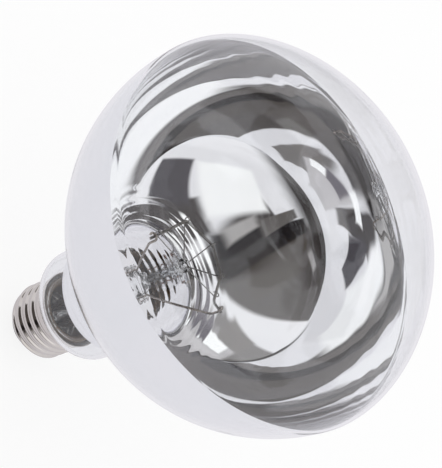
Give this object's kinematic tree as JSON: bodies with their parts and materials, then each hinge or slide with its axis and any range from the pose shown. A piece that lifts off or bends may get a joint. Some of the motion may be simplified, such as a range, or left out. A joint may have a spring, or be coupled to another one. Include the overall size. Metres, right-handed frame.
{
  "type": "heat lamp bulb",
  "caption": "Infrared heat lamp bulb: blown glass reflector with a clear domed face, a silvered bowl, a ring filament on its stem, and a screw cap.",
  "frame": {"origin": "middle of the flat tip of the centre contact's solder, the cap's end", "axes": "+Z along the bulb's axis from the cap to the clear face; +X is the side that the picture looks from; -X carries the side solder"},
  "size_m": [0.125, 0.125, 0.1623],
  "materials": {
    "clear_glass": "clear polished blown glass",
    "silvering": "bright vacuum-deposited aluminium",
    "nickel_plate": "nickel-plated rolled brass",
    "black_glass": "glossy black moulded glass",
    "brass": "plain pressed brass",
    "solder": "dull tin solder",
    "cement": "baked basing cement",
    "stem_glass": "clear drawn and pinched glass",
    "tungsten": "fine coiled tungsten wire",
    "molybdenum": "drawn molybdenum wire",
    "nickel_wire": "drawn nickel wire",
    "copper_wire": "bare copper wire"
  },
  "bodies": {
    "root": {"glass_envelope": "clear_glass", "mirror_coating": "silvering", "screw_shell": "nickel_plate", "base_insulator": "black_glass", "centre_contact": "brass", "contact_solder": "solder", "side_solder": "solder", "basing_cement": "cement", "glass_stem": "stem_glass", "exhaust_tube": "stem_glass", "glass_rod": "stem_glass", "filament": "tungsten", "filament_support_1": "molybdenum", "filament_support_2": "molybdenum", "filament_support_3": "molybdenum", "filament_support_4": "molybdenum", "filament_support_5": "molybdenum", "lead_wire_a": "nickel_wire", "lead_wire_b": "nickel_wire", "outer_lead_centre": "copper_wire", "outer_lead_side": "copper_wire"}
  },
  "joints": []
}
